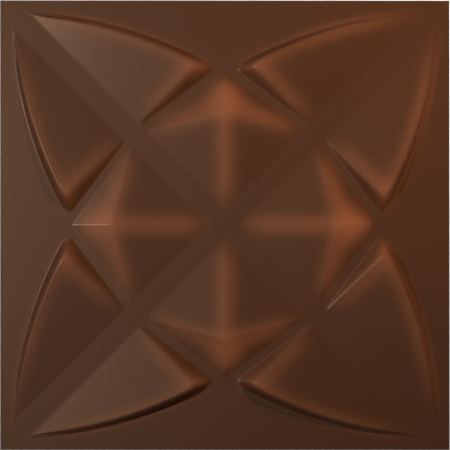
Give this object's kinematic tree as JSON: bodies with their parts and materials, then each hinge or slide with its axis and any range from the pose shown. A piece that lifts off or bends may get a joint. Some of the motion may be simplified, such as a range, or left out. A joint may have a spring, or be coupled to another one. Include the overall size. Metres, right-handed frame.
{
  "type": "textured wall panel",
  "caption": "Square formed plastic wall panel with faceted kites and arc-edged tilted wings set between flat diagonal bands, glued flat to a wall and butted edge to edge.",
  "frame": {"origin": "middle of the flat back of the panel", "axes": "+X to the right and +Y up the face as it hangs on a wall, +Z out of the face; stored lying on its back, face up"},
  "size_m": [0.5, 0.5, 0.0161],
  "materials": {
    "painted_sheet": "satin dark brown paint with a rust glow airbrushed along the ridges and crests"
  },
  "bodies": {
    "root": {"wall_panel": "painted_sheet"}
  },
  "joints": []
}
